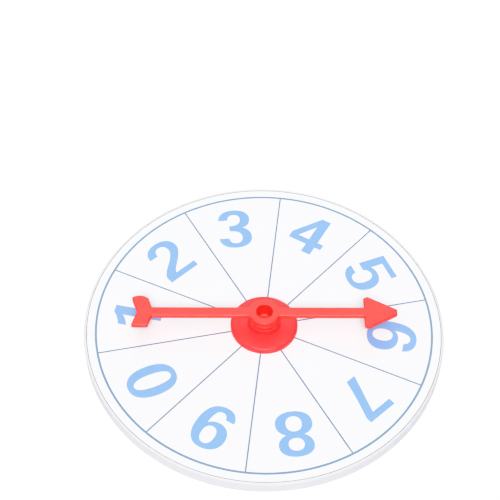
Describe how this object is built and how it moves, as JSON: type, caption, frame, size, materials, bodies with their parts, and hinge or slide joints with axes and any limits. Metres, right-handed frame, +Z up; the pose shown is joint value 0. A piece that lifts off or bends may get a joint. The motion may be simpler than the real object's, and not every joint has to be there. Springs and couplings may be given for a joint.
{
  "type": "game spinner",
  "caption": "Tabletop game spinner: a round board printed with numbered sectors and a moulded arrow that turns freely on a flanged hub in its middle.",
  "frame": {"origin": "middle of the board's underside, on the surface it rests on, below the pointer's axis", "axes": "+Z up along the pointer's axis; +X the way the arrow points at rest; +Y to its left, the dial read from above"},
  "size_m": [0.2, 0.2, 0.0221],
  "materials": {
    "board_white": "fine-textured white foamed plastic, satin",
    "printed_card": "gloss-laminated white card with light blue print",
    "back_card": "plain white card",
    "red_plastic": "moulded red plastic, satin gloss",
    "washer_plastic": "matt dark red plastic",
    "clip_steel": "spring steel, lightly oiled"
  },
  "bodies": {
    "base": {"board_core": "board_white", "dial_card": "printed_card", "back_card": "back_card", "hub_base": "red_plastic", "lock_ring": "red_plastic", "thrust_washer": "washer_plastic"},
    "pointer": {"pointer": "red_plastic", "axle_clip": "clip_steel"}
  },
  "joints": [
    {"name": "pointer_spin", "type": "hinge", "parent": "base", "child": "pointer", "pos_m": [0, 0, 0.0128], "axis": [0, 0, 1], "continuous": true}
  ]
}
